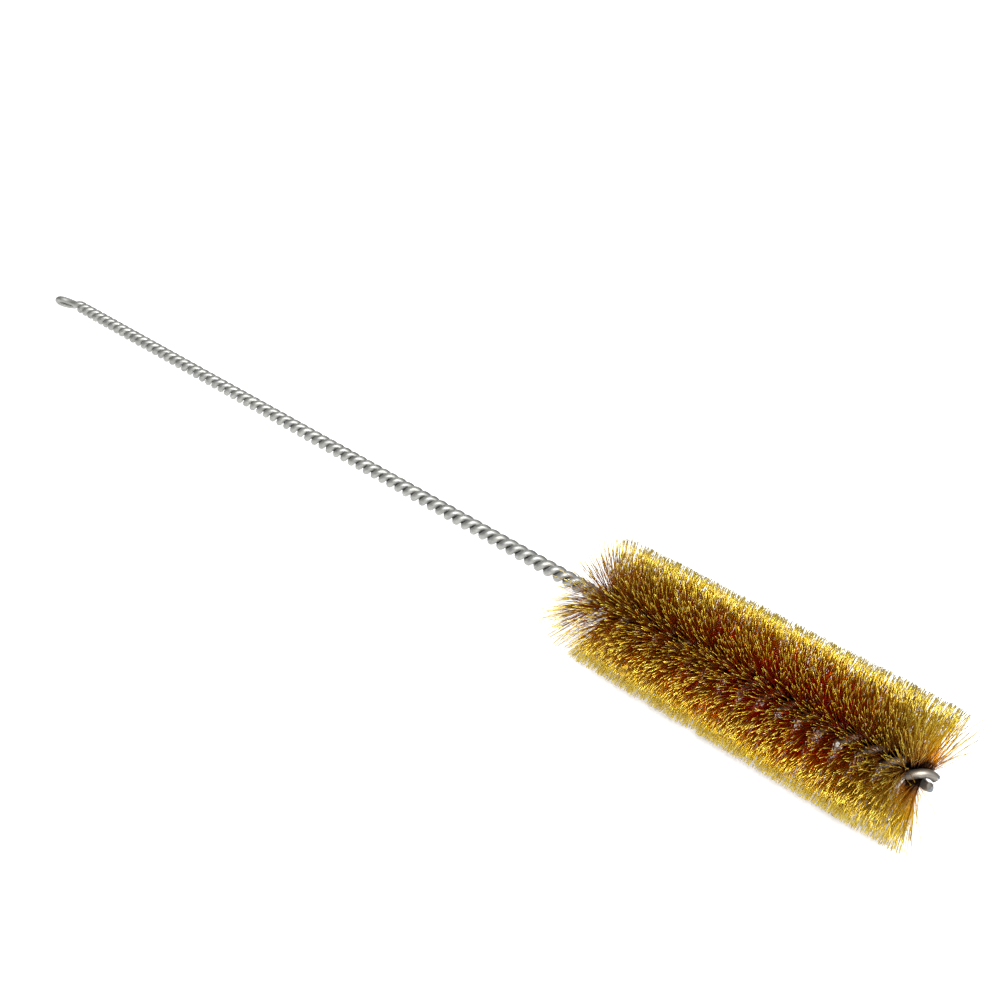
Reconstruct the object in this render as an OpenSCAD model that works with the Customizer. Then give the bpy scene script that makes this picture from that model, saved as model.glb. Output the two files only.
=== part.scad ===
// Twisted-in-wire tube brush with a brass fill.
// One steel wire is folded double. The fold is the hanging eye, and the two legs are twisted
// round each other all the way from the eye to the cut tip. The last turns of the twist are
// looser, and grip the middles of fine brass filaments, whose ends stand out all round as a
// cylinder.
// The brush lies along X with its tip towards +X and +Z up. The origin is under the middle of
// its length, on the surface that the lowest filament ends touch.

/* [Overall] */
// Length from the far end of the hanging eye to the cut ends of the wire
overall_length = 300; // [200:5:400]

/* [Wire] */
// Diameter of the wire
wire_d = 1.8; // [1.4:0.1:2.2]
// Length along the bare stem in which the legs turn once round each other
twist_pitch = 5.8; // [5.4:0.1:8]
// Gap between the two legs in the bare stem
leg_gap = 0.2; // [0.15:0.05:0.4]
// Length over which the legs, parallel at the neck of the eye, reach their full twist
neck_ramp = 2; // [1:0.1:6]

/* [Hanging eye] */
// Clear width inside the eye
eye_width = 3.6; // [2.4:0.2:7]
// Length from the start of the twist to the far end of the eye
eye_length = 8.8; // [8:0.2:20]
// Turn of the flat of the eye about the stem
eye_roll = 135; // [0:5:180]
// How far the end of the eye is bent out of its own plane
eye_droop = 2.4; // [0:0.1:3]

/* [Brass fill] */
// Diameter over the filament ends
fill_d = 30; // [20:1:50]
// Length of wire that grips filaments
fill_length = 75; // [40:1:120]
// Length along the fill in which the legs turn once round each other
fill_pitch = 8.8; // [7:0.1:12]
// Gap between the two legs in the fill, which the middles of the filaments hold open
fill_gap = 0.5; // [0.2:0.05:0.8]
// Length over which the twist loosens and the legs open, just before the fill
loosen_length = 2; // [1:0.5:8]
// Bare wire between the fill and the cut ends
bare_tip = 2.6; // [2:0.1:10]
// Room between the twisted wire and the solids of the fill
fill_clearance = 0.2; // [0.1:0.05:0.4]

/* [Hidden] */
// Left-hand twist, seen along the stem
twist_hand = -1;
// Sides of the wire's section, and sections along each turn of the twist
wire_sides = 8;
rings_per_turn = 10;
// Steps round the eye's bow, and along each arc between the bow and the neck
bow_steps = 16;
neck_steps = 4;
// Space between the filaments of one row and those of the next
row_gap = 0.1;
$fn = 96;

wire_r = wire_d / 2;
// Distance of each leg's centre line from the axis, in the bare stem and in the fill
helix_r = (wire_d + leg_gap) / 2;
fill_helix_r = (wire_d + fill_gap) / 2;
core_r = fill_helix_r + wire_r;
axis_z = fill_d / 2;

// Places along X
tip_x = overall_length / 2;
neck_x = -overall_length / 2 + eye_length;
fill_end_x = tip_x - bare_tip;
fill_start_x = fill_end_x - fill_length;

// Degrees by which a leg turns for each unit along the bare stem, and along the fill
stem_rate = 360 / twist_pitch;
fill_rate = 360 / fill_pitch;
// Distances from the neck at which the twist starts to loosen, and at which the fill starts
loosen_start = fill_start_x - loosen_length - neck_x;
loosen_end = loosen_start + loosen_length;
// A square-cut end leans with its leg, so it reaches this far past the end of its centre line
end_slope = fill_rate * fill_helix_r * PI / 180;
end_reach = wire_r * end_slope / sqrt(1 + pow(end_slope, 2));
leg_length = tip_x - neck_x - end_reach;
ring_count = ceil(leg_length / twist_pitch * rings_per_turn);

// The eye's round end, and the two wide arcs that bring it in to the neck
bow_r = (eye_width + wire_d) / 2;
bow_to_neck = eye_length - bow_r - wire_r;
neck_r = (pow(bow_to_neck, 2) - pow(bow_r, 2) + pow(helix_r, 2)) / (2 * (bow_r - helix_r));
bow_open_angle = atan2(helix_r + neck_r, bow_to_neck);

// Each half turn of the twist grips one row of filaments, between one crossing of the legs and
// the next
fill_rows = max(1, round(2 * fill_length / fill_pitch));
row_length = fill_length / fill_rows;

function two_digits(n) = str(n < 10 ? "0" : "", n);
function row_name(n) = str("filaments_row_", two_digits(n));

// How far the twist has loosened at distance s along the wire from the neck: 0 in the bare stem,
// 1 in the fill
function loosened_at(s) = min(1, max(0, (s - loosen_start) / loosen_length));

// Degrees by which a leg turns for each unit along the stem, at distance s
function rate_at(s) = min(1, s / neck_ramp)
    * (stem_rate + (fill_rate - stem_rate) * loosened_at(s));

// Turn of a leg, in degrees, at distance s: the sum of rate_at from the neck to there
function twist_at(s) = twist_hand * (
    stem_rate * (s < neck_ramp ? s * s / (2 * neck_ramp) : s - neck_ramp / 2)
    + (fill_rate - stem_rate)
        * (loosen_length * pow(loosened_at(s), 2) / 2 + max(0, s - loosen_end))
);

// Distance of a leg's centre line from the axis, at distance s
function helix_r_at(s) = helix_r + (fill_helix_r - helix_r) * loosened_at(s);

// Sideways travel of a leg for each unit along the stem, at distance s
function slope_at(s) = twist_hand * rate_at(s) * helix_r_at(s) * PI / 180;

// One section of a leg, square to its centre line: s along the stem, at angle turn about it
function leg_ring(s, turn) =
    let (
        outward = [0, cos(turn), sin(turn)],
        around = [0, -sin(turn), cos(turn)],
        slope = slope_at(s),
        across = (around - slope * [1, 0, 0]) / sqrt(1 + slope * slope)
    )
    [for (side = [0:wire_sides - 1])
        let (angle = 360 * side / wire_sides)
        [s, 0, 0] + helix_r_at(s) * outward
            + wire_r * (cos(angle) * outward + sin(angle) * across)];

// How far the eye is bent out of its plane, more and more from the neck to its far end
function droop_at(x) = eye_droop * pow((bow_to_neck - x) / eye_length, 2);

// One section of the eye, in the eye's own plane: place on its centre line, direction outward
function eye_ring(place, outward) =
    [for (side = [0:wire_sides - 1])
        let (angle = 360 * side / wire_sides)
        place + [0, 0, droop_at(place.x)]
            + wire_r * (cos(angle) * outward - sin(angle) * [0, 0, 1])];

// The sections along one arc of the eye: bulge is 1 where the arc's centre is inside the eye
function eye_arc(centre, arc_r, start, end, steps, bulge) =
    [for (step = [0:steps])
        let (
            angle = start + (end - start) * step / steps,
            direction = [cos(angle), sin(angle), 0]
        )
        eye_ring(centre + arc_r * direction, bulge * direction)];

// The two triangles of a tube's skin between one section and the next, on one side
function skin_pair(ring, side) =
    let (
        next_side = (side + 1) % wire_sides,
        near = ring * wire_sides,
        far = near + wire_sides
    )
    [
        [near + side, far + side, far + next_side],
        [near + side, far + next_side, near + next_side]
    ];

// A closed length of wire through a list of sections
module wire_tube(rings) {
    last = len(rings) - 1;
    skin = [for (ring = [0:last - 1], side = [0:wire_sides - 1]) each skin_pair(ring, side)];
    first_face = [for (side = [0:wire_sides - 1]) side];
    last_face = [for (side = [wire_sides - 1:-1:0]) last * wire_sides + side];
    polyhedron(
        points = [for (ring = rings) each ring],
        faces = concat([first_face], skin, [last_face])
    );
}

module leg(start_angle) {
    translate([neck_x, 0, axis_z])
        wire_tube([for (ring = [0:ring_count])
            let (s = leg_length * ring / ring_count)
            leg_ring(s, start_angle + twist_at(s))]);
}

module hanging_eye() {
    neck_centre = [bow_to_neck, helix_r + neck_r, 0];
    into_bow = eye_arc(neck_centre, neck_r, 270, 180 + bow_open_angle, neck_steps, -1);
    bow = eye_arc([0, 0, 0], bow_r, bow_open_angle, 360 - bow_open_angle, bow_steps, 1);
    out_of_bow = eye_arc([neck_centre.x, -neck_centre.y, 0], neck_r, 180 - bow_open_angle, 90,
        neck_steps, -1);
    inner_bow = [for (step = [1:bow_steps - 1]) bow[step]];
    color([0.68, 0.68, 0.66])
        translate([neck_x - bow_to_neck, 0, axis_z])
            rotate([eye_roll, 0, 0])
                wire_tube(concat(into_bow, inner_bow, out_of_bow));
}

module wire_leg_a() {
    color([0.68, 0.68, 0.66])
        leg(eye_roll);
}

module wire_leg_b() {
    color([0.60, 0.60, 0.58])
        leg(eye_roll + 180);
}

// The space that the filaments gripped by one half turn of the twist fill
module filaments_row(row) {
    color([0.72, 0.56, 0.12])
        translate([fill_start_x + (row - 1) * row_length + row_gap / 2, 0, axis_z])
            rotate([0, 90, 0])
                difference() {
                    cylinder(h = row_length - row_gap, d = fill_d);
                    translate([0, 0, -row_length])
                        cylinder(h = 3 * row_length, r = core_r + fill_clearance);
                }
}

hanging_eye();
wire_leg_a();
wire_leg_b();
for (row = [1:fill_rows])
    filaments_row(row);
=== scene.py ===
"""Looks of a twisted-in-wire tube brush: one steel wire folded double, and its fill of brass filaments."""

import logging
import math
from dataclasses import dataclass, field
from enum import Enum

import bpy
import numpy as np
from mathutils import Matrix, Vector


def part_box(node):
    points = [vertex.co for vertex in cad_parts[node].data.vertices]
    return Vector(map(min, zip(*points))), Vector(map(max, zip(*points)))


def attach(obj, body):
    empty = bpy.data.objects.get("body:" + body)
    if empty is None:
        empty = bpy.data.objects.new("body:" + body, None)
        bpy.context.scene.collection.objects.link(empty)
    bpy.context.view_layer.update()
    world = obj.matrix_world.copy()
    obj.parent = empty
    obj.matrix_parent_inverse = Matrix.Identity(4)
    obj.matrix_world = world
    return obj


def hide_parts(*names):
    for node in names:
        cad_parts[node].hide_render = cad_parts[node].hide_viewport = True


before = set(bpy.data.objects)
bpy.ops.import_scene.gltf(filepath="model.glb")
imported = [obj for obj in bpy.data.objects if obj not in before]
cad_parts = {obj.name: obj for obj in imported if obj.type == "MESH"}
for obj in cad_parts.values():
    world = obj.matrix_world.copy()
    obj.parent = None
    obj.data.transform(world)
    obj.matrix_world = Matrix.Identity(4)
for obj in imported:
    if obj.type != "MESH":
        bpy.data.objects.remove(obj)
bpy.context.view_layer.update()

log = logging.getLogger("tube_brush")

MM = 0.001
TURN = 2 * math.pi


class Hand(Enum):
    """Which way the legs turn round each other, seen along the stem."""

    LEFT = -1
    RIGHT = 1


class Slot(Enum):
    """The record's material slots."""

    WIRE = "wire"
    BRASS = "brass_filament"


class FilamentEnd(Enum):
    """The two ways that a filament leaves the twist."""

    FORWARD = 1
    BACKWARD = -1


# --------------------------------------------------------------------------- small tools


def deselect_everything() -> None:
    """Leaves edit mode and clears the selection."""
    if bpy.context.object and bpy.context.object.mode != "OBJECT":
        bpy.ops.object.mode_set(mode="OBJECT")
    bpy.ops.object.select_all(action="DESELECT")


def take_up(piece: bpy.types.Object) -> None:
    """Makes one piece the only selected object, and the active one.

    Args:
        piece: The object to work on.
    """
    deselect_everything()
    piece.select_set(True)
    bpy.context.view_layer.objects.active = piece


def unit(rows: np.ndarray) -> np.ndarray:
    """Scales each vector to length 1.

    Args:
        rows: Vectors along the last axis.

    Returns:
        The unit vectors.
    """
    return rows / np.linalg.norm(rows, axis=-1, keepdims=True)


# --------------------------------------------------------------------------- finishes


class NodeSketch:
    """A material's node tree while it is being put together."""

    def __init__(self, name: str) -> None:
        """Starts a material that has only its Principled shader.

        Args:
            name: The material's name.
        """
        self.material = bpy.data.materials.new(name)
        self.material.use_nodes = True
        self.nodes = self.material.node_tree.nodes
        self.links = self.material.node_tree.links
        self.shader = self.nodes["Principled BSDF"]

    def set_shader(self, **values: object) -> None:
        """Sets plain values on the shader's own sockets.

        Args:
            **values: Socket names, with _ for a space, and their values.
        """
        for name, value in values.items():
            self.shader.inputs[name.replace("_", " ")].default_value = value

    def feed(self, socket: str, source: bpy.types.NodeSocket) -> None:
        """Links an output to one of the shader's sockets.

        Args:
            socket: The shader's socket.
            source: The output that drives it.
        """
        self.links.new(source, self.shader.inputs[socket])

    def attribute(self, name: str, output: str = "Fac") -> bpy.types.NodeSocket:
        """Reads one of the piece's own attributes.

        Args:
            name: The attribute's name.
            output: Which of the node's outputs to take.

        Returns:
            The attribute's output.
        """
        node = self.nodes.new("ShaderNodeAttribute")
        node.attribute_name = name
        return node.outputs[output]

    def distance_from_axis(self, height: float) -> bpy.types.NodeSocket:
        """Measures how far each point is from the stem's axis.

        Args:
            height: Height of the axis over the resting surface.

        Returns:
            The distance, in metres.
        """
        place = self.nodes.new("ShaderNodeTexCoord")
        centred = self.nodes.new("ShaderNodeMapping")
        centred.inputs["Location"].default_value = (0, 0, -height)
        centred.inputs["Scale"].default_value = (0, 1, 1)
        length = self.nodes.new("ShaderNodeVectorMath")
        length.operation = "LENGTH"
        self.links.new(place.outputs["Object"], centred.inputs["Vector"])
        self.links.new(centred.outputs["Vector"], length.inputs[0])
        return length.outputs["Value"]

    def object_place(self) -> bpy.types.NodeSocket:
        """Gives the point's own place in the piece."""
        return self.nodes.new("ShaderNodeTexCoord").outputs["Object"]

    def along_stem(self) -> bpy.types.NodeSocket:
        """Gives the point's place along the stem, in metres."""
        parts = self.nodes.new("ShaderNodeSeparateXYZ")
        self.links.new(self.object_place(), parts.inputs["Vector"])
        return parts.outputs["X"]

    def product(self, first: bpy.types.NodeSocket, second: bpy.types.NodeSocket) -> bpy.types.NodeSocket:
        """Multiplies two values.

        Args:
            first: One value.
            second: The other.

        Returns:
            The product.
        """
        node = self.nodes.new("ShaderNodeMath")
        node.operation = "MULTIPLY"
        self.links.new(first, node.inputs[0])
        self.links.new(second, node.inputs[1])
        return node.outputs[0]

    def stretched(self, vector: bpy.types.NodeSocket, scale: tuple) -> bpy.types.NodeSocket:
        """Scales a place by a different amount along each axis.

        Args:
            vector: The place.
            scale: The three scales.

        Returns:
            The scaled place.
        """
        node = self.nodes.new("ShaderNodeMapping")
        node.inputs["Scale"].default_value = scale
        self.links.new(vector, node.inputs["Vector"])
        return node.outputs["Vector"]

    def noise(self, vector: bpy.types.NodeSocket, scale: float, detail: float) -> bpy.types.NodeSocket:
        """Adds a noise pattern.

        Args:
            vector: The place that the pattern reads.
            scale: Features for each unit of the place.
            detail: Octaves.

        Returns:
            The noise, about 0 to 1.
        """
        node = self.nodes.new("ShaderNodeTexNoise")
        node.inputs["Scale"].default_value = scale
        node.inputs["Detail"].default_value = detail
        self.links.new(vector, node.inputs["Vector"])
        return node.outputs["Fac"]

    def spread(self, source: bpy.types.NodeSocket, old: tuple, new: tuple) -> bpy.types.NodeSocket:
        """Maps one range to another, and holds it there.

        Args:
            source: The value.
            old: Its range.
            new: The range it gets.

        Returns:
            The mapped value.
        """
        node = self.nodes.new("ShaderNodeMapRange")
        for socket, value in zip(("From Min", "From Max", "To Min", "To Max"), (*old, *new)):
            node.inputs[socket].default_value = value
        self.links.new(source, node.inputs["Value"])
        return node.outputs["Result"]

    def ramp(self, source: bpy.types.NodeSocket, stops: dict) -> bpy.types.NodeSocket:
        """Turns a value into a colour.

        Args:
            source: The value, 0 to 1.
            stops: The colour at each place.

        Returns:
            The colour.
        """
        node = self.nodes.new("ShaderNodeValToRGB")
        elements = node.color_ramp.elements
        while len(elements) < len(stops):
            elements.new(0.5)
        for element, (place, colour) in zip(elements, sorted(stops.items())):
            element.position = place
            element.color = (*colour, 1)
        self.links.new(source, node.inputs["Fac"])
        return node.outputs["Color"]

    def blend(self, kind: str, share: object, first: object, second: object) -> bpy.types.NodeSocket:
        """Mixes two colours.

        Args:
            kind: MIX, MULTIPLY or another blend type.
            share: How much of the second, a number or an output.
            first: The first colour, plain or an output.
            second: The second colour, plain or an output.

        Returns:
            The mixed colour.
        """
        node = self.nodes.new("ShaderNodeMix")
        node.data_type = "RGBA"
        node.blend_type = kind
        for socket, value in ((node.inputs[0], share), (node.inputs[6], first), (node.inputs[7], second)):
            if isinstance(value, bpy.types.NodeSocket):
                self.links.new(value, socket)
            else:
                socket.default_value = value if isinstance(value, float) else (*value, 1)
        return node.outputs[2]

    def bump(self, height: bpy.types.NodeSocket, strength: float, depth: float) -> None:
        """Gives the surface a fine relief.

        Args:
            height: The relief, 0 to 1.
            strength: How strongly it shows.
            depth: Its height in metres.
        """
        node = self.nodes.new("ShaderNodeBump")
        node.inputs["Strength"].default_value = strength
        node.inputs["Distance"].default_value = depth
        self.links.new(height, node.inputs["Height"])
        self.feed("Normal", node.outputs["Normal"])


@dataclass(frozen=True)
class DrawnSteel:
    """Galvanised steel wire: satin, with lines from the die and a clouded zinc skin, and painted shade in
    the grooves where the two legs meet.

    Inside the fill it is painted a shaded brown, tinted like the brass around it, and less so towards the
    tip.
    """

    bright: tuple = (0.43, 0.43, 0.405)
    dull: tuple = (0.30, 0.30, 0.29)
    # Painted shade for the grooves between the two legs.
    painted_groove_shade: tuple = (0.13, 0.125, 0.115)
    # Painted shade for the wire inside the fill, tinted brown like the brass around it.
    painted_fill_shade: tuple = (0.17, 0.105, 0.035)
    die_line: tuple = (0.62, 0.62, 0.63)
    grain_stretch: tuple = (0.35, 9, 9)
    cloud_scale: float = 520.0
    crevice_from: float = 0.55 * MM
    crevice_to: float = 1.15 * MM
    fill_shade_from: float = 72 * MM
    fill_shade_fade_in: float = 3 * MM
    fill_shade_to: float = 142 * MM
    fill_shade_fade_out: float = 14 * MM
    axis_height: float = 15 * MM

    def make(self) -> bpy.types.Material:
        """Builds the finish."""
        sketch = NodeSketch("drawn_steel")
        grain = sketch.attribute("wire_grain", "Vector")
        lines = sketch.noise(sketch.stretched(grain, self.grain_stretch), scale=1.0, detail=4.0)
        clouds = sketch.noise(sketch.object_place(), self.cloud_scale, detail=4.0)
        skin = sketch.ramp(clouds, {0.32: self.dull, 0.66: self.bright})
        scored = sketch.ramp(lines, {0.36: self.die_line, 0.60: (1, 1, 1)})
        drawn = sketch.blend("MULTIPLY", 0.55, skin, scored)
        from_axis = sketch.distance_from_axis(self.axis_height)
        # Painted shade: the wire darkens towards the axis, in the grooves where the two legs touch.
        crevice = sketch.spread(from_axis, (self.crevice_from, self.crevice_to), (0.75, 0.0))
        # Painted shade: the wire inside the fill is mixed towards a brassy brown, less so near the tip.
        along = sketch.along_stem()
        fill_shade_start = sketch.spread(along, (self.fill_shade_from, self.fill_shade_from + self.fill_shade_fade_in), (0.0, 0.9))
        fill_shade_end = sketch.spread(along, (self.fill_shade_to - self.fill_shade_fade_out, self.fill_shade_to), (1.0, 0.35))
        fill_shade = sketch.product(fill_shade_start, fill_shade_end)
        fill_shaded = sketch.blend("MIX", fill_shade, drawn, self.painted_fill_shade)
        sketch.feed("Base Color", sketch.blend("MIX", crevice, fill_shaded, self.painted_groove_shade))
        sketch.feed("Roughness", sketch.spread(lines, (0.3, 0.7), (0.62, 0.46)))
        sketch.set_shader(Metallic=1.0)
        sketch.bump(lines, strength=0.35, depth=0.03 * MM)
        return sketch.material


@dataclass(frozen=True)
class ShearedSteel:
    """The cut end of the wire: torn grey steel with no zinc on it."""

    bright: tuple = (0.50, 0.53, 0.56)
    dark: tuple = (0.20, 0.22, 0.25)
    tear_stretch: tuple = (1, 3, 1)
    tear_scale: float = 1900.0

    def make(self) -> bpy.types.Material:
        """Builds the finish."""
        sketch = NodeSketch("sheared_steel")
        place = sketch.stretched(sketch.object_place(), self.tear_stretch)
        tears = sketch.noise(place, self.tear_scale, detail=3.0)
        sketch.feed("Base Color", sketch.ramp(tears, {0.35: self.dark, 0.62: self.bright}))
        sketch.feed("Roughness", sketch.spread(tears, (0.3, 0.7), (0.30, 0.55)))
        sketch.set_shader(Metallic=1.0)
        sketch.bump(tears, strength=0.5, depth=0.06 * MM)
        return sketch.material


@dataclass(frozen=True)
class DrawnBrass:
    """Fine brass filament: darker and browner towards the twist with painted shade, painted red shade in
    patches along part of the fill, and paler at its ends as a painted highlight.
    """

    # root and core are painted shade deep in the fill: near-black at the twist, maroon just outside it.
    root: tuple = (0.025, 0.008, 0.002)
    core: tuple = (0.44, 0.15, 0.006)
    middle: tuple = (0.72, 0.37, 0.006)
    outer: tuple = (0.66, 0.45, 0.006)
    # Painted highlight: the ends are paler and creamier than the rest of the brass.
    end: tuple = (0.70, 0.58, 0.11)
    # Painted red shade, standing for light reflected between the brass filaments.
    painted_red_shade: tuple = (0.70, 0.012, 0.005)
    painted_red_shade_middle: tuple = (0.80, 0.050, 0.005)
    red_shade_from: float = 76 * MM
    red_shade_rise: float = 110 * MM
    red_shade_fall: float = 130 * MM
    red_shade_to: float = 142 * MM
    patch_scale: float = 110.0
    spot_scale: float = 700.0
    spot: tuple = (0.62, 0.46, 0.34)
    dull_filament: tuple = (0.62, 0.50, 0.38)
    usual_filament: tuple = (0.95, 0.95, 0.9)
    axis_height: float = 15 * MM
    fill_radius: float = 15 * MM

    def make(self) -> bpy.types.Material:
        """Builds the finish."""
        sketch = NodeSketch("drawn_brass")
        reach = sketch.spread(sketch.distance_from_axis(self.axis_height), (0, self.fill_radius), (0, 1))
        # Painted shade by depth: the brass darkens from its ends in towards the axis.
        plain = sketch.ramp(reach, {0.20: self.root, 0.27: self.core, 0.44: self.middle, 0.70: self.outer,
                                    1.0: self.end})
        # Painted red shade: a red ramp mixed in, in patches, along part of the fill.
        red = sketch.ramp(reach, {0.20: self.root, 0.27: self.painted_red_shade, 0.62: self.painted_red_shade_middle,
                                  0.88: self.outer, 1.0: self.end})
        along = sketch.along_stem()
        patches = sketch.noise(sketch.object_place(), self.patch_scale, detail=2.0)
        red_shade_share = sketch.product(sketch.spread(along, (self.red_shade_from, self.red_shade_rise), (0.25, 1.0)),
                                sketch.spread(along, (self.red_shade_fall, self.red_shade_to), (1.0, 0.0)))
        red_shade_share = sketch.product(red_shade_share, sketch.spread(patches, (0.36, 0.52), (0.45, 1.0)))
        colour = sketch.blend("MIX", red_shade_share, plain, red)
        own = sketch.attribute("filament_tint")
        shade = sketch.ramp(own, {0.0: self.dull_filament, 0.45: self.usual_filament, 1.0: (1, 1, 1)})
        varied = sketch.blend("MULTIPLY", 0.8, colour, shade)
        spots = sketch.noise(sketch.object_place(), self.spot_scale, detail=3.0)
        tarnish = sketch.ramp(spots, {0.38: self.spot, 0.56: (1, 1, 1)})
        sketch.feed("Base Color", sketch.blend("MULTIPLY", 0.6, varied, tarnish))
        sketch.feed("Roughness", sketch.spread(spots, (0.3, 0.7), (0.50, 0.32)))
        sketch.set_shader(Metallic=1.0)
        sketch.bump(spots, strength=0.2, depth=0.02 * MM)
        return sketch.material


@dataclass(frozen=True)
class PaleFloor:
    """A plain matt white floor, lit a little from below as a studio's light table is."""

    colour: tuple = (0.75, 0.75, 0.75)
    glow: float = 0.42
    mottling: float = 0.985
    mottling_scale: float = 6.0

    def make(self) -> bpy.types.Material:
        """Builds the finish."""
        sketch = NodeSketch("pale_floor")
        grain = sketch.noise(sketch.object_place(), self.mottling_scale, detail=2.0)
        mottled = tuple(self.mottling * channel for channel in self.colour)
        sketch.feed("Base Color", sketch.blend("MIX", grain, self.colour, mottled))
        sketch.set_shader(Roughness=0.9, Specular_IOR_Level=0.1)
        sketch.set_shader(Emission_Color=(1, 1, 1, 1), Emission_Strength=self.glow)
        return sketch.material


# --------------------------------------------------------------------------- the wire


@dataclass
class Twist:
    """How the two legs of the wire turn round each other, from the neck of the eye to the cut tip."""

    neck_x: float
    tip_x: float
    fill_start_x: float
    wire_radius: float = 0.9 * MM
    stem_gap: float = 0.2 * MM
    fill_gap: float = 0.5 * MM
    stem_pitch: float = 5.8 * MM
    fill_pitch: float = 8.8 * MM
    loosen_length: float = 2 * MM
    neck_ramp: float = 2 * MM
    start_angle: float = math.radians(135)
    hand: Hand = Hand.LEFT
    axis_height: float = 15 * MM

    @property
    def fill_offset(self) -> float:
        """Distance of each leg's centre line from the axis, in the fill."""
        return self.wire_radius + self.fill_gap / 2

    @property
    def end_reach(self) -> float:
        """How far a square-cut end leans past the end of its leg's centre line."""
        slope = TURN * self.fill_offset / self.fill_pitch
        return self.wire_radius * slope / math.hypot(1, slope)

    def loosened(self, x: np.ndarray) -> np.ndarray:
        """Finds how far the twist has loosened: 0 in the bare stem, 1 in the fill.

        Args:
            x: Places along the stem.

        Returns:
            The shares.
        """
        return np.clip((x - self.fill_start_x) / self.loosen_length + 1, 0, 1)

    def offset(self, x: np.ndarray) -> np.ndarray:
        """Finds the distance of each leg's centre line from the axis.

        Args:
            x: Places along the stem.

        Returns:
            The distances.
        """
        gap = self.stem_gap + (self.fill_gap - self.stem_gap) * self.loosened(x)
        return self.wire_radius + gap / 2

    def angle(self, x: np.ndarray) -> np.ndarray:
        """Finds leg A's turn about the axis: a short ramp, the tight stem, then the looser fill.

        Args:
            x: Places along the stem.

        Returns:
            The angles, in radians from +Y towards +Z.
        """
        along = x - self.neck_x
        ramp = self.neck_ramp
        tight = np.where(along < ramp, along**2 / (2 * ramp), along - ramp / 2) / self.stem_pitch
        loose = self.loosen_length * self.loosened(x) ** 2 / 2 + np.maximum(0, x - self.fill_start_x)
        lost = loose * (1 / self.stem_pitch - 1 / self.fill_pitch)
        return self.start_angle + self.hand.value * TURN * (tight - lost)

    def leg_line(self, x: np.ndarray, half_turn: float) -> np.ndarray:
        """Finds one leg's centre line.

        Args:
            x: Places along the stem.
            half_turn: 0 for leg A, pi for leg B.

        Returns:
            One point for each place.
        """
        angle = self.angle(x) + half_turn
        y = self.offset(x) * np.cos(angle)
        z = self.axis_height + self.offset(x) * np.sin(angle)
        return np.column_stack([x, y, z])


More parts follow.
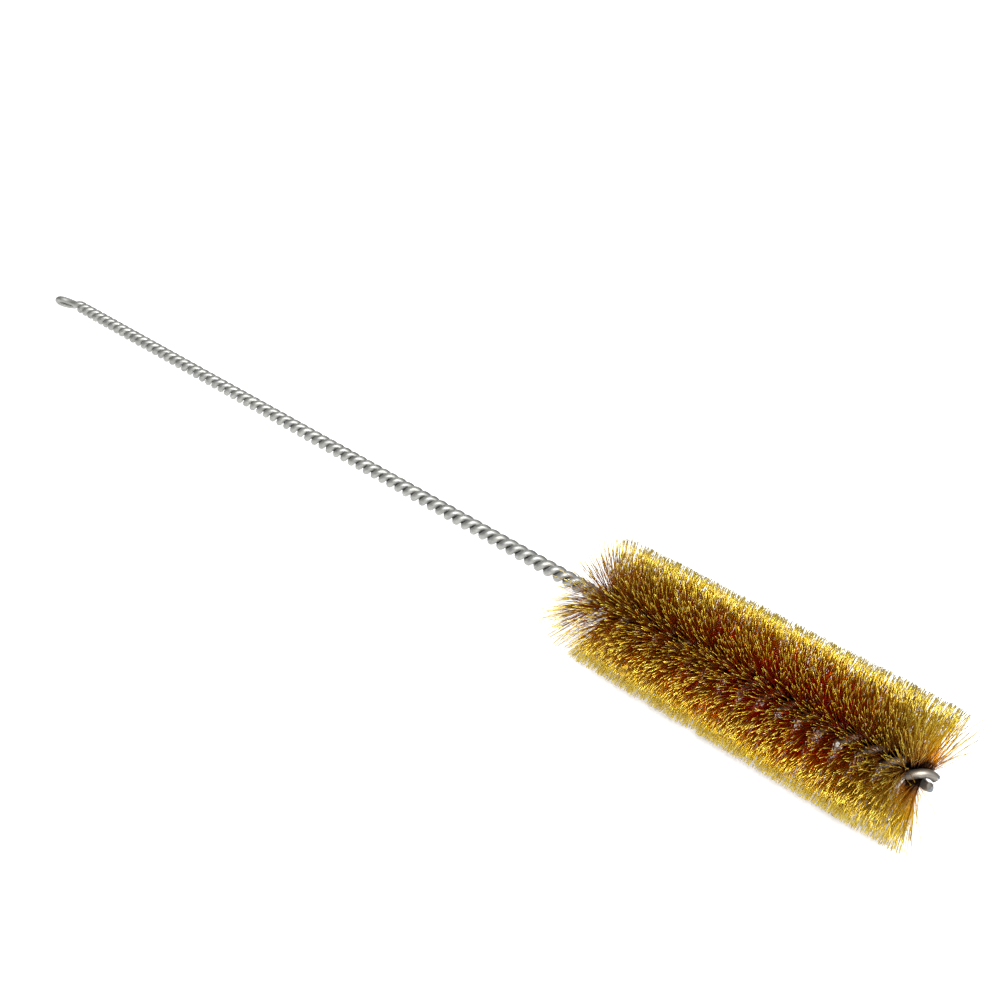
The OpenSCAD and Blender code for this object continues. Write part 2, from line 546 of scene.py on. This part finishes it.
@dataclass
class FoldedWire:
    """The one steel wire: cut tip, leg A, the hanging eye, leg B, cut tip."""

    twist: Twist
    eye_width: float = 3.6 * MM
    eye_length: float = 8.8 * MM
    eye_droop: float = 2.4 * MM
    rings_per_turn: int = 20
    bow_steps: int = 48
    neck_steps: int = 16
    sides: int = 16
    chamfer: float = 0.16 * MM
    dish: float = 0.4
    smooth_angle: float = math.radians(40)
    piece: bpy.types.Object = field(default=None, init=False)

    def eye_line(self) -> np.ndarray:
        """Finds the eye's centre line: a wide arc, the round bow and a wide arc back, bent out of its plane.

        Returns:
            Points from leg A's neck round to leg B's.
        """
        offset = self.twist.wire_radius + self.twist.stem_gap / 2
        bow = self.eye_width / 2 + self.twist.wire_radius
        to_neck = self.eye_length - bow - self.twist.wire_radius
        neck = (to_neck**2 - bow**2 + offset**2) / (2 * (bow - offset))
        opening = math.atan2(offset + neck, to_neck)
        quarter = math.pi / 2
        arcs = [
            ((to_neck, offset + neck), neck, np.linspace(3 * quarter, math.pi + opening, self.neck_steps)),
            ((0, 0), bow, np.linspace(opening, TURN - opening, self.bow_steps)),
            ((to_neck, -offset - neck), neck, np.linspace(math.pi - opening, quarter, self.neck_steps)),
        ]
        flat = [np.column_stack([c[0] + r * np.cos(a), c[1] + r * np.sin(a)]) for c, r, a in arcs]
        flat = np.concatenate([flat[0][1:], flat[1][1:], flat[2][1:-1]])
        droop = self.eye_droop * ((to_neck - flat[:, 0]) / self.eye_length) ** 2
        cos, sin = math.cos(self.twist.start_angle), math.sin(self.twist.start_angle)
        x = self.twist.neck_x - to_neck + flat[:, 0]
        y = flat[:, 1] * cos - droop * sin
        z = self.twist.axis_height + flat[:, 1] * sin + droop * cos
        return np.column_stack([x, y, z])

    def centre_line(self) -> np.ndarray:
        """Joins the legs and the eye into one line, from cut end to cut end."""
        last = self.twist.tip_x - self.twist.end_reach
        count = round((last - self.twist.neck_x) / self.twist.stem_pitch * self.rings_per_turn)
        x = np.linspace(self.twist.neck_x, last, count)
        leg_a = self.twist.leg_line(x, 0)
        leg_b = self.twist.leg_line(x, math.pi)
        return np.concatenate([leg_a[::-1], self.eye_line(), leg_b])

    def build(self) -> None:
        """Draws the wire along its line and cuts its two ends."""
        line = self.centre_line()
        curve = bpy.data.curves.new("folded_wire", "CURVE")
        curve.dimensions = "3D"
        curve.bevel_depth = self.twist.wire_radius
        curve.bevel_resolution = self.sides // 2 - 2
        curve.use_fill_caps = True
        spline = curve.splines.new("POLY")
        spline.points.add(len(line) - 1)
        spline.points.foreach_set("co", np.column_stack([line, np.ones(len(line))]).ravel())
        self.piece = bpy.data.objects.new("folded_wire", curve)
        bpy.context.scene.collection.objects.link(self.piece)
        take_up(self.piece)
        bpy.ops.object.convert(target="MESH")
        self.piece = bpy.context.object
        self.mark_grain(line)
        self.cut_ends()
        self.piece.data.shade_smooth()
        take_up(self.piece)
        bpy.ops.object.shade_smooth_by_angle(angle=self.smooth_angle)

    def mark_grain(self, line: np.ndarray) -> None:
        """Stores on each point how far along and which way round the wire it is, for the drawn lines.

        Args:
            line: The wire's centre line.
        """
        mesh = self.piece.data
        ring = np.minimum(np.arange(len(mesh.vertices)) // self.sides, len(line) - 1)
        around = TURN * (np.arange(len(mesh.vertices)) % self.sides) / self.sides
        step = np.linalg.norm(np.diff(line, axis=0), axis=1)
        along = np.concatenate([[0], np.cumsum(step)])[ring] / self.twist.wire_radius
        grain = mesh.attributes.new("wire_grain", "FLOAT_VECTOR", "POINT")
        grain.data.foreach_set("vector", np.column_stack([along, np.cos(around), np.sin(around)]).ravel())

    def cut_ends(self) -> None:
        """Breaks the edge of each cut end, and dishes the face that the cutters sheared."""
        bpy.ops.object.mode_set(mode="EDIT")
        bpy.ops.mesh.select_mode(type="FACE")
        bpy.ops.mesh.select_all(action="DESELECT")
        bpy.ops.mesh.select_face_by_sides(number=self.sides, type="EQUAL")
        bpy.ops.mesh.inset(thickness=self.chamfer)
        bpy.ops.transform.translate(value=(self.chamfer, 0, 0))
        bpy.ops.mesh.inset(thickness=2 * self.chamfer)
        bpy.ops.transform.translate(value=(-self.dish * self.chamfer, 0, 0))
        bpy.ops.object.mode_set(mode="OBJECT")

    def dress(self) -> None:
        """Gives the wire its finish, with bare steel on the cut ends."""
        mesh = self.piece.data
        mesh.materials.clear()
        mesh.materials.append(DrawnSteel().make())
        mesh.materials.append(ShearedSteel().make())
        cut_from = self.twist.tip_x - 0.5 * self.twist.wire_radius
        for face in mesh.polygons:
            face.material_index = int(face.center.x > cut_from and face.normal.x > 0.55)
        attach(self.piece, "root")
        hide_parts("hanging_eye", "wire_leg_a", "wire_leg_b")


# --------------------------------------------------------------------------- the filaments


@dataclass
class Filament:
    """One straight brass filament, modelled once: the fill's copies are bent from it."""

    radius: float = 0.060 * MM
    sides: int = 4
    rings: int = 13
    places: np.ndarray = field(default=None, init=False)
    faces: list = field(default=None, init=False)
    map_corners: np.ndarray = field(default=None, init=False)

    def build(self) -> None:
        """Models the filament on end, reads its shape and puts it away."""
        deselect_everything()
        bpy.ops.mesh.primitive_cylinder_add(vertices=self.sides, radius=1, depth=2, end_fill_type="NGON")
        master = bpy.context.object
        bpy.ops.object.mode_set(mode="EDIT")
        bpy.ops.mesh.select_mode(type="EDGE")
        bpy.ops.mesh.select_all(action="DESELECT")
        bpy.ops.object.mode_set(mode="OBJECT")
        for edge in master.data.edges:
            low, high = (master.data.vertices[v].co.z for v in edge.vertices)
            edge.select = abs(high - low) > 1
        bpy.ops.object.mode_set(mode="EDIT")
        bpy.ops.mesh.subdivide(number_cuts=self.rings - 2)
        bpy.ops.mesh.select_all(action="SELECT")
        bpy.ops.mesh.normals_make_consistent(inside=False)
        bpy.ops.object.mode_set(mode="OBJECT")
        self.read(master.data)
        bpy.data.objects.remove(master)

    def read(self, mesh: bpy.types.Mesh) -> None:
        """Keeps the filament's points, faces and map.

        Args:
            mesh: The finished filament, 2 units long on Z and 1 in radius.
        """
        self.places = np.array([v.co for v in mesh.vertices])
        self.faces = [tuple(face.vertices) for face in mesh.polygons]
        corners = []
        for face in mesh.polygons:
            middle = math.atan2(face.center.y, face.center.x) % TURN
            for vertex in face.vertices:
                place = mesh.vertices[vertex].co
                angle = math.atan2(place.y, place.x)
                if len(face.vertices) == 4:
                    angle = middle + (angle - middle + math.pi) % TURN - math.pi
                corners.append((angle / TURN % 2, (place.z + 1) / 2))
        self.map_corners = np.array(corners)


@dataclass
class FillRow:
    """The filaments that one half turn of the twist grips."""

    number: int
    count: int
    twist: Twist
    filament: Filament
    start_x: float
    end_x: float
    fill_start_x: float
    fill_end_x: float
    fill_radius: float
    tuft: int = 6
    tuft_tilt: float = math.radians(3.5)
    own_tilt: float = math.radians(6.5)
    tuft_swing: float = math.radians(5)
    own_swing: float = math.radians(16)
    most_tilt: float = 0.7
    most_swing: float = 1.2
    handle_lean: float = math.radians(15)
    handle_lean_reach: float = 4.5 * MM
    tip_lean: float = math.radians(3)
    stray_share: float = 0.015
    stray_tilt: float = math.radians(20)
    stray_swing: float = math.radians(35)
    stray_bow: float = 3.0
    stray_length: tuple = (0.7, 1.0)
    root_bend: float = 0.05
    trim: float = 0.22 * MM
    wave: float = 0.22 * MM
    wave_turns: tuple = (0.6, 1.5)
    wave_fade: float = 1.6
    bow: float = 0.8 * MM
    seed: int = 400
    strip_margin: float = 0.1
    strip_share: float = 0.4
    piece: bpy.types.Object = field(default=None, init=False)

    @property
    def name(self) -> str:
        """The piece's name."""
        return f"brass_row_{self.number:02d}"

    def lean(self, x: np.ndarray) -> np.ndarray:
        """Finds how far the filaments lean along the stem, which they do only near the fill's two ends.

        Args:
            x: Places along the stem.

        Returns:
            The lean towards the tip, in radians.
        """
        back = np.exp(-(x - self.fill_start_x) / self.handle_lean_reach)
        forward = np.exp(-(self.fill_end_x - x) / self.handle_lean_reach)
        return self.tip_lean * forward - self.handle_lean * back

    def build(self) -> None:
        """Bends the filament along each gripped one's own line, and joins the copies into one piece."""
        rng = np.random.default_rng(self.seed + self.number)
        x = np.sort(rng.uniform(self.start_x, self.end_x, self.count))
        offset = rng.uniform(-0.5, 0.5, self.count) * self.twist.fill_gap
        angle = self.twist.angle(x)
        zero = np.zeros(self.count)
        along = np.column_stack([zero, -np.sin(angle), np.cos(angle)])
        beside = np.column_stack([zero, np.cos(angle), np.sin(angle)])
        root = np.column_stack([x, zero, zero + self.twist.axis_height]) + beside * offset[:, None]
        steps = np.linspace(-1, 1, self.filament.rings)
        line = np.empty((self.count, self.filament.rings, 3))
        for end in FilamentEnd:
            half = self.half_lines(rng, root, along * end.value, beside, x, np.abs(steps))
            mine = steps * end.value >= 0
            line[:, mine] = half[:, mine]
        self.piece = self.join(line, rng)

    def half_lines(self, rng: np.random.Generator, root: np.ndarray, out: np.ndarray, beside: np.ndarray,
                   x: np.ndarray, reach: np.ndarray) -> np.ndarray:
        """Finds the centre line of every filament on one side of the twist.

        Args:
            rng: The row's own random numbers.
            root: Where each filament is gripped.
            out: The direction in which it leaves the twist.
            beside: The direction from the axis to leg A there.
            x: Its place along the stem.
            reach: How far along the half each ring is, 0 to 1.

        Returns:
            Points: filament, ring, axis.
        """
        tufts = self.count // self.tuft + 1
        shared = np.repeat(rng.normal(0, 1, (tufts, 2)), self.tuft, axis=0)[: self.count]
        own = rng.normal(0, 1, (self.count, 2))
        tilt = self.lean(x) + self.tuft_tilt * shared[:, 0] + self.own_tilt * own[:, 0]
        swing = self.tuft_swing * shared[:, 1] + self.own_swing * own[:, 1]
        stray = rng.random(self.count) < self.stray_share
        tilt = np.where(stray, tilt + rng.normal(0, self.stray_tilt, self.count), tilt)
        swing = np.where(stray, swing + rng.normal(0, self.stray_swing, self.count), swing)
        swing = np.clip(swing, -self.most_swing, self.most_swing)
        tilt = np.clip(tilt, -self.most_tilt, self.most_tilt)
        tip_radius = self.fill_radius - np.abs(rng.normal(0, self.trim, self.count))
        tip_radius = np.where(stray, tip_radius * rng.uniform(*self.stray_length, self.count), tip_radius)
        length = tip_radius * np.cos(swing)
        opened = reach - self.root_bend * (1 - np.exp(-reach / self.root_bend))
        opened = opened / opened.max()
        sideways = (length * np.tan(swing))[:, None] * opened
        forwards = (tip_radius * np.tan(tilt))[:, None] * opened
        turns = rng.uniform(*self.wave_turns, (self.count, 2, 1))
        phase = rng.uniform(0, TURN, (self.count, 2, 1))
        ripple = np.sin(TURN * turns * reach + phase) - np.sin(phase)
        size = self.wave * rng.normal(0, 1, (self.count, 2, 1))
        curl = self.bow * rng.normal(0, 1, (self.count, 2, 1))
        curl = curl * np.where(stray, self.stray_bow, 1.0)[:, None, None]
        wander = size * ripple * reach * (self.wave_fade - reach) + curl * (reach - reach**2)
        return (root[:, None] + out[:, None] * (length[:, None] * reach)[..., None]
                + beside[:, None] * (sideways + wander[:, 0])[..., None]
                + np.array([1.0, 0, 0]) * (forwards + wander[:, 1])[..., None])

    def join(self, line: np.ndarray, rng: np.random.Generator) -> bpy.types.Object:
        """Puts a bent copy of the filament on each line.

        Args:
            line: Points: filament, ring, axis.
            rng: The row's own random numbers.

        Returns:
            The row's piece.
        """
        model = self.filament
        tangent = unit(np.gradient(line, axis=1))
        across = unit(np.cross(tangent, np.array([1.0, 0.0, 0.0])))
        third = np.cross(tangent, across)
        ring = np.rint((model.places[:, 2] + 1) / 2 * (model.rings - 1)).astype(int)
        spin = rng.uniform(0, TURN, self.count)[:, None, None]
        px, py = model.places[:, 0][None, :, None], model.places[:, 1][None, :, None]
        turned_x = px * np.cos(spin) - py * np.sin(spin)
        turned_y = px * np.sin(spin) + py * np.cos(spin)
        points = line[:, ring] + model.radius * (across[:, ring] * turned_x + third[:, ring] * turned_y)
        points[..., 2] = np.maximum(points[..., 2], 0)
        mesh = bpy.data.meshes.new(self.name)
        stride = len(model.places)
        faces = [tuple(v + i * stride for v in face) for i in range(self.count) for face in model.faces]
        mesh.from_pydata(points.reshape(-1, 3).tolist(), [], faces)
        self.map_strips(mesh)
        tint = mesh.attributes.new("filament_tint", "FLOAT", "POINT")
        tint.data.foreach_set("value", np.repeat(rng.random(self.count), stride).astype(np.float32))
        mesh.polygons.foreach_set("use_smooth", np.ones(len(mesh.polygons), bool))
        mesh.update()
        piece = bpy.data.objects.new(self.name, mesh)
        bpy.context.scene.collection.objects.link(piece)
        return piece

    def map_strips(self, mesh: bpy.types.Mesh) -> None:
        """Lays each filament out as a narrow strip of the piece's map.

        Args:
            mesh: The row's mesh.
        """
        corners = self.filament.map_corners
        strips = np.tile(corners, (self.count, 1))
        strip = np.repeat(np.arange(self.count), len(corners))
        strips[:, 0] = (strip + self.strip_margin + self.strip_share * strips[:, 0]) / self.count
        layer = mesh.uv_layers.new(name="OFBake")
        layer.uv.foreach_set("vector", strips.astype(np.float32).ravel())

    def dress(self, finish: bpy.types.Material) -> None:
        """Gives the filaments their finish, and puts them in place of the row's plain ring.

        Args:
            finish: The brass.
        """
        self.piece.data.materials.append(finish)
        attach(self.piece, "root")
        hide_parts(f"filaments_row_{self.number:02d}")


@dataclass
class BrassFill:
    """The whole cylinder of filaments, row by row."""

    twist: Twist
    filaments_per_row: int = 320
    rows: list = field(default_factory=list, init=False)

    def build(self) -> None:
        """Builds the filaments of every row that the frame has a node for."""
        filament = Filament()
        filament.build()
        names = sorted(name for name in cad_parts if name.startswith("filaments_row_"))
        boxes = [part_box(name) for name in names]
        start, end = boxes[0][0].x, boxes[-1][1].x
        radius = (boxes[0][1].z - boxes[0][0].z) / 2
        length = (end - start) / len(names)
        for number in range(1, len(names) + 1):
            row = FillRow(number, self.filaments_per_row, self.twist, filament,
                          start + (number - 1) * length, start + number * length, start, end, radius)
            row.build()
            self.rows.append(row)

    def dress(self) -> None:
        """Gives every row the same brass."""
        finish = DrawnBrass().make()
        for row in self.rows:
            row.dress(finish)


# --------------------------------------------------------------------------- the studio


@dataclass
class Lamp:
    """A square soft light that looks at the brush."""

    name: str
    place: tuple
    size: float
    power: float
    aim: tuple = (0.03, 0, 0.015)

    def build(self) -> None:
        """Hangs the light."""
        data = bpy.data.lights.new(self.name, "AREA")
        data.shape = "SQUARE"
        data.size = self.size
        data.energy = self.power
        lamp = bpy.data.objects.new(self.name, data)
        lamp.location = self.place
        lamp.rotation_euler = (Vector(self.aim) - Vector(self.place)).to_track_quat("-Z", "Y").to_euler()
        bpy.context.scene.collection.objects.link(lamp)


@dataclass
class Studio:
    """The camera, the plain floor and the soft lights."""

    lens: float = 43.92
    azimuth: float = math.radians(42.54)
    elevation: float = math.radians(35.55)
    distance: float = 289.38 * MM
    aim: Vector = Vector((34.87 * MM, 5.93 * MM, 21.11 * MM))
    floor_size: float = 6.0
    horizon: float = 0.20
    zenith: float = 0.55

    def place_camera(self) -> None:
        """Puts the camera where it looks along the brush from beside its tip."""
        data = bpy.data.cameras.new("camera")
        data.lens = self.lens
        data.sensor_width = 36
        data.clip_start = 0.01
        camera = bpy.data.objects.new("camera", data)
        level = math.cos(self.elevation)
        east, south = math.sin(self.azimuth) * level, math.cos(self.azimuth) * level
        back = Vector((east, -south, math.sin(self.elevation)))
        camera.location = self.aim + back * self.distance
        camera.rotation_euler = (-back).to_track_quat("-Z", "Y").to_euler()
        bpy.context.scene.collection.objects.link(camera)
        bpy.context.scene.camera = camera

    def lay_floor(self) -> None:
        """Lays the floor under the lowest filament ends."""
        deselect_everything()
        bpy.ops.mesh.primitive_plane_add(size=self.floor_size, location=(0, 0, 0))
        floor = bpy.context.object
        floor.name = "floor"
        floor.data.materials.append(PaleFloor().make())

    def light(self) -> None:
        """Hangs the lights, and fills the room with a pale light that is brighter overhead."""
        world = bpy.data.worlds.new("studio_air")
        world.use_nodes = True
        nodes, links = world.node_tree.nodes, world.node_tree.links
        nodes["Background"].inputs["Color"].default_value = (1, 1, 1, 1)
        direction = nodes.new("ShaderNodeTexCoord")
        height = nodes.new("ShaderNodeSeparateXYZ")
        glow = nodes.new("ShaderNodeMapRange")
        glow.inputs["To Min"].default_value = self.horizon
        glow.inputs["To Max"].default_value = self.zenith
        links.new(direction.outputs["Generated"], height.inputs["Vector"])
        links.new(height.outputs["Z"], glow.inputs["Value"])
        links.new(glow.outputs["Result"], nodes["Background"].inputs["Strength"])
        bpy.context.scene.world = world
        bpy.context.scene.view_settings.view_transform = "Standard"
        for lamp in (
            Lamp("key_light", (0.44, -0.47, 0.77), 0.35, 16.0),
            Lamp("rim_light", (-0.45, 0.45, 0.60), 0.25, 1.0),
        ):
            lamp.build()


# --------------------------------------------------------------------------- the brush


def framed_twist() -> Twist:
    """Reads where the twist starts, loosens and ends from the frame."""
    return Twist(neck_x=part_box("hanging_eye")[1].x, tip_x=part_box("wire_leg_a")[1].x,
                 fill_start_x=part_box("filaments_row_01")[0].x)


def main() -> None:
    """Builds the studio, the wire and the fill, in that order, and reports each piece."""
    logging.basicConfig(level=logging.INFO, format="%(name)s: %(message)s")
    studio = Studio()
    studio.place_camera()
    studio.lay_floor()
    studio.light()
    twist = framed_twist()
    wire = FoldedWire(twist)
    wire.build()
    wire.dress()
    log.info("%s: %d faces", wire.piece.name, len(wire.piece.data.polygons))
    fill = BrassFill(twist)
    fill.build()
    fill.dress()
    for row in fill.rows:
        log.info("%s: %d filaments, %d faces", row.name, row.count, len(row.piece.data.polygons))


if __name__ == "__main__":
    main()
